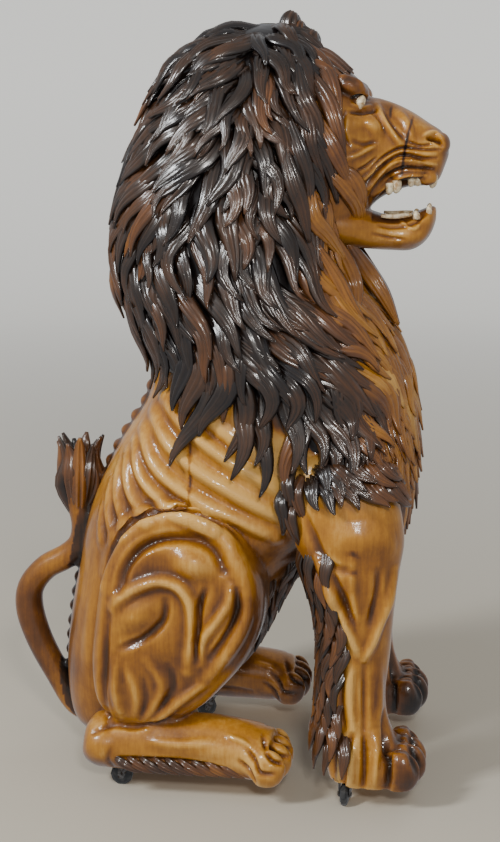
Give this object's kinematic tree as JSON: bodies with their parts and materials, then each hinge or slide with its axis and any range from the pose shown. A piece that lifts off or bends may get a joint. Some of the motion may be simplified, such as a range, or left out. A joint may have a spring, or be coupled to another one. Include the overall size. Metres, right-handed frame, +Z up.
{
  "type": "carved wooden lion figurehead",
  "caption": "Seated lion carved in varnished wood with an open mouth, a long locked mane and a raised tail, standing on small swivel castors.",
  "frame": {"origin": "on the floor under the castor wheels, midway along the lion's length and on its middle plane", "axes": "+X the way the lion faces, +Y to its left side, +Z up"},
  "size_m": [0.9889, 0.6284, 1.677],
  "materials": {
    "carved_wood": "old varnish, glossy, amber on the body and almost black on the mane",
    "castor_steel": "dull dark steel",
    "castor_rubber": "satin"
  },
  "bodies": {
    "carving": {"lion": "carved_wood", "castor_stem_rear_right": "castor_steel", "castor_stem_rear_left": "castor_steel", "castor_stem_front_right": "castor_steel", "castor_stem_front_left": "castor_steel"},
    "fork_rear_right": {"castor_fork_rear_right": "castor_steel"},
    "fork_rear_left": {"castor_fork_rear_left": "castor_steel"},
    "fork_front_right": {"castor_fork_front_right": "castor_steel"},
    "fork_front_left": {"castor_fork_front_left": "castor_steel"},
    "wheel_rear_right": {"castor_wheel_rear_right": "castor_rubber"},
    "wheel_rear_left": {"castor_wheel_rear_left": "castor_rubber"},
    "wheel_front_right": {"castor_wheel_front_right": "castor_rubber"},
    "wheel_front_left": {"castor_wheel_front_left": "castor_rubber"}
  },
  "joints": [
    {"name": "swivel_rear_right", "type": "hinge", "parent": "carving", "child": "fork_rear_right", "pos_m": [-0.18436, -0.21956, 0.054], "axis": [0, 0, 1], "continuous": true},
    {"name": "roll_rear_right", "type": "hinge", "parent": "fork_rear_right", "child": "wheel_rear_right", "pos_m": [-0.19436, -0.21956, 0.024], "axis": [0, -1, 0], "continuous": true},
    {"name": "swivel_rear_left", "type": "hinge", "parent": "carving", "child": "fork_rear_left", "pos_m": [-0.06034, 0.19442, 0.054], "axis": [0, 0, 1], "continuous": true},
    {"name": "roll_rear_left", "type": "hinge", "parent": "fork_rear_left", "child": "wheel_rear_left", "pos_m": [-0.0694, 0.19019, 0.024], "axis": [0.4226, -0.9063, 0], "continuous": true},
    {"name": "swivel_front_right", "type": "hinge", "parent": "carving", "child": "fork_front_right", "pos_m": [0.30671, -0.24805, 0.054], "axis": [0, 0, 1], "continuous": true},
    {"name": "roll_front_right", "type": "hinge", "parent": "fork_front_right", "child": "wheel_front_right", "pos_m": [0.30566, -0.25799, 0.024], "axis": [0.9945, -0.1045, 0], "continuous": true},
    {"name": "swivel_front_left", "type": "hinge", "parent": "carving", "child": "fork_front_left", "pos_m": [0.31844, 0.21788, 0.054], "axis": [0, 0, 1], "continuous": true},
    {"name": "roll_front_left", "type": "hinge", "parent": "fork_front_left", "child": "wheel_front_left", "pos_m": [0.30904, 0.2213, 0.024], "axis": [-0.342, -0.9397, 0], "continuous": true}
  ]
}
